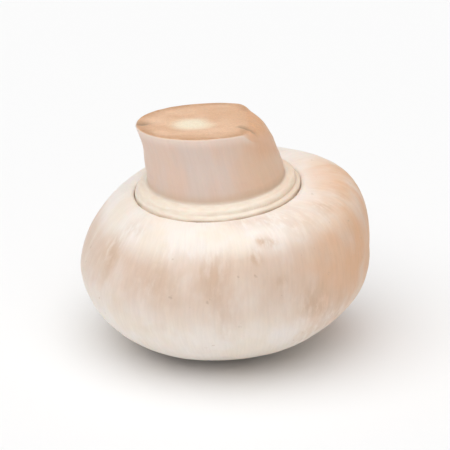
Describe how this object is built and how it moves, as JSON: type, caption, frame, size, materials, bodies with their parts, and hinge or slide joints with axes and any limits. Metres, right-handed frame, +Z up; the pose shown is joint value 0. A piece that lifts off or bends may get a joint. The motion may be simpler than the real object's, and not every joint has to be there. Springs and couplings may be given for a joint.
{
  "type": "button mushroom",
  "caption": "Fresh closed-cup white button mushroom standing upside down on its crown, with a rounded cap, a closed veil and a short trimmed stem.",
  "frame": {"origin": "under the middle of the mushroom, on the surface that its crown rests on", "axes": "+Z up, from the crown to the cut end of the stem; +X to the right, along the cap's widest line; -Y towards the side that is seen from the front"},
  "size_m": [0.0464, 0.0454, 0.0393],
  "materials": {
    "mushroom_flesh": "matte"
  },
  "bodies": {
    "root": {"mushroom": "mushroom_flesh"}
  },
  "joints": []
}
